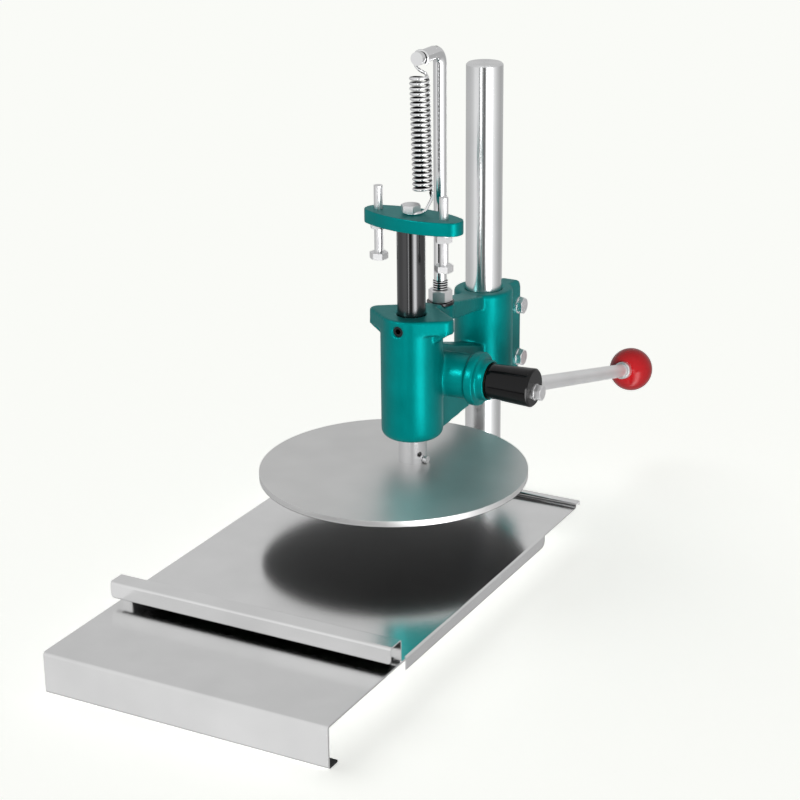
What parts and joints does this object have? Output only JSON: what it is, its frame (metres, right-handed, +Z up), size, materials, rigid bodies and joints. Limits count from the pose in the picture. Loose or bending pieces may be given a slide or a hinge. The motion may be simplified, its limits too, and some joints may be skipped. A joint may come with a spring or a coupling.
{
  "type": "pizza dough press",
  "caption": "Manual dough press: a round plate on a rack-driven ram with a return spring, over a sliding tray on a folded sheet base.",
  "frame": {"origin": "centre of the bounding box on the floor, 40.2 mm ahead of the ram axis", "axes": "+X towards the lever's side, +Y towards the column at the rear, +Z up"},
  "size_m": [0.2614, 0.6799, 0.4535],
  "materials": {
    "stainless_sheet": "satin sheet",
    "plate_steel": "satin",
    "green_enamel": "gloss enamel on a casting",
    "chrome": "polished",
    "dark_chrome": "polished, oiled",
    "zinc_steel": "bright zinc",
    "plain_steel": "machined",
    "bronze": "bearing bronze",
    "black_plastic": "gloss",
    "red_plastic": "gloss"
  },
  "bodies": {
    "base": {"base_plate": "stainless_sheet", "seat_plate": "plain_steel", "foot_washer": "zinc_steel", "foot_bolt": "zinc_steel", "column": "chrome"},
    "tray": {"tray": "stainless_sheet"},
    "head": {"head_casting": "green_enamel", "shaft_bush": "bronze", "set_screw": "zinc_steel", "clamp_bolts": "zinc_steel", "clamp_washers": "zinc_steel", "clamp_nuts": "zinc_steel", "hanger_rod": "chrome", "hanger_nut": "zinc_steel", "hanger_washer": "zinc_steel", "return_spring": "zinc_steel"},
    "ram": {"ram": "dark_chrome", "crosshead": "green_enamel", "crosshead_bolt": "zinc_steel", "stop_nuts": "zinc_steel", "stop_washers": "zinc_steel", "press_plate": "plate_steel", "plate_screw": "zinc_steel"},
    "left_stop": {"left_stop_bolt": "zinc_steel"},
    "right_stop": {"right_stop_bolt": "zinc_steel"},
    "lever": {"pinion_shaft": "plain_steel", "hub_key": "plain_steel", "lever_hub": "black_plastic", "hub_bolt": "zinc_steel", "lever_rod": "zinc_steel", "ball_ferrule": "zinc_steel", "ball_knob": "red_plastic"}
  },
  "joints": [
    {"name": "tray_slide", "type": "slide", "parent": "base", "child": "tray", "axis": [0, -1, 0], "range_m": [-0.045, 0.09]},
    {"name": "head_height", "type": "slide", "parent": "base", "child": "head", "axis": [0, 0, 1], "range_m": [0, 0.15]},
    {"name": "ram_slide", "type": "slide", "parent": "head", "child": "ram", "axis": [0, 0, -1], "range_m": [0, 0.0375], "stiffness_N_per_m": 600, "springref_m": -0.1, "deforming": ["return_spring"]},
    {"name": "lever_turn", "type": "hinge", "parent": "head", "child": "lever", "pos_m": [0, 0.0652, 0.1643], "axis": [1, 0, 0], "range_deg": [0, 153.5]},
    {"name": "left_stop_adjust", "type": "slide", "parent": "ram", "child": "left_stop", "axis": [0, 0, 1], "range_m": [0, 0.015]},
    {"name": "right_stop_adjust", "type": "slide", "parent": "ram", "child": "right_stop", "axis": [0, 0, 1], "range_m": [0, 0.015]}
  ],
  "couplings": [
    {"joint": "lever_turn", "follows": "ram_slide", "rad_per_m": 71.429}
  ]
}
